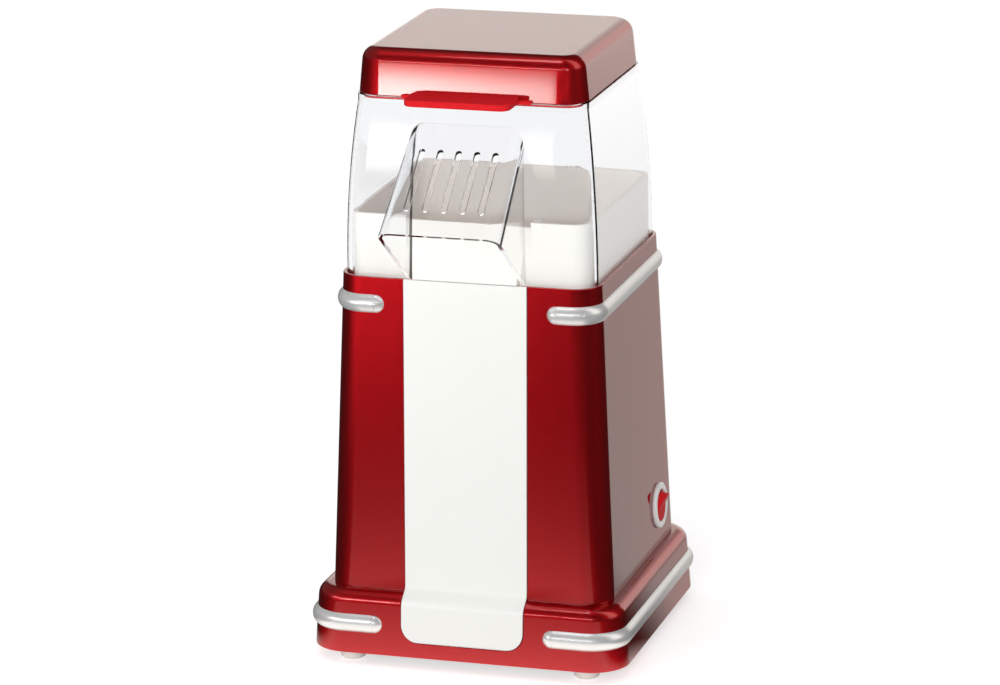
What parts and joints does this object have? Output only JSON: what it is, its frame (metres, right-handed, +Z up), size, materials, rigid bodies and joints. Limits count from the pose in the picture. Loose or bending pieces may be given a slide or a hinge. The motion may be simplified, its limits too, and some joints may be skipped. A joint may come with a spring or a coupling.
{
  "type": "popcorn maker",
  "caption": "Tabletop hot-air popcorn maker: a tapered red tower with a white front strip, a clear lift-off hood with a pouring chute, a red measuring-cup lid and a rocker switch.",
  "frame": {"origin": "on the table, under the middle of the whole object's box", "axes": "+Z up, -Y to the front where the chute is, +X to the side with the switch"},
  "size_m": [0.1604, 0.1853, 0.3],
  "materials": {
    "red_paint": "gloss candy red",
    "white_panel": "satin white",
    "cream_liner": "satin cream",
    "clear_hood": "clear gloss",
    "silver_trim": "satin",
    "pale_rubber": "matt",
    "white_switch": "gloss white",
    "red_rocker": "gloss red",
    "grey_plastic": "matt",
    "heat_plastic": "matt heat-proof",
    "chamber_metal": "spun",
    "sheet_steel": "plated",
    "screw_steel": "zinc plated",
    "bronze": "sintered",
    "contact_brass": "plain",
    "mica": "flaky",
    "heater_wire": "oxidised",
    "ferrite": "matt",
    "core_steel": "laminated",
    "board_resin": "matt",
    "lead_silicone": "satin",
    "seal_silicone": "satin"
  },
  "bodies": {
    "base": {"plinth": "red_paint", "body_shell": "red_paint", "front_panel": "white_panel", "liner": "cream_liner", "trim_upper_left": "silver_trim", "trim_upper_right": "silver_trim", "trim_lower_left": "silver_trim", "trim_lower_right": "silver_trim", "foot_front_left": "pale_rubber", "foot_front_right": "pale_rubber", "foot_rear_left": "pale_rubber", "foot_rear_right": "pale_rubber", "switch_housing": "white_switch", "switch_pin": "screw_steel", "switch_terminals": "contact_brass", "popping_chamber": "chamber_metal", "chamber_seal": "seal_silicone", "heater_sleeve": "sheet_steel", "liner_screws": "screw_steel", "heater_cross": "mica", "heater_coil": "heater_wire", "thermostat": "grey_plastic", "thermal_fuse": "contact_brass", "blower_housing": "heat_plastic", "motor_can": "sheet_steel", "motor_end_cap": "grey_plastic", "motor_bush_upper": "bronze", "motor_bush_lower": "bronze", "motor_magnets": "ferrite", "motor_screws": "screw_steel", "rectifier_board": "board_resin", "rectifier_diodes": "heat_plastic", "bottom_plate": "grey_plastic", "bottom_plate_screws": "screw_steel", "leg_screws": "screw_steel", "body_screws": "screw_steel", "cord_gland": "heat_plastic", "terminal_block": "white_switch", "lead_switch": "lead_silicone", "lead_thermostat": "lead_silicone", "lead_motor": "lead_silicone"},
    "hood": {"hood": "clear_hood"},
    "lid": {"lid": "red_paint"},
    "rocker": {"switch_rocker": "red_rocker"},
    "rotor": {"motor_shaft": "screw_steel", "motor_armature": "core_steel", "fan_impeller": "grey_plastic"}
  },
  "joints": [
    {"name": "hood_lift", "type": "slide", "parent": "base", "child": "hood", "axis": [0, 0, 1], "range_m": [0, 0.1]},
    {"name": "lid_lift", "type": "slide", "parent": "hood", "child": "lid", "axis": [0, 0, 1], "range_m": [0, 0.06]},
    {"name": "rocker_press", "type": "hinge", "parent": "base", "child": "rocker", "pos_m": [0.06857, 0.04713, 0.05696], "axis": [0, 1, 0], "range_deg": [-28, 0]},
    {"name": "fan_spin", "type": "hinge", "parent": "base", "child": "rotor", "pos_m": [0, 0.01413, 0.07], "axis": [0, 0, 1], "continuous": true}
  ]
}
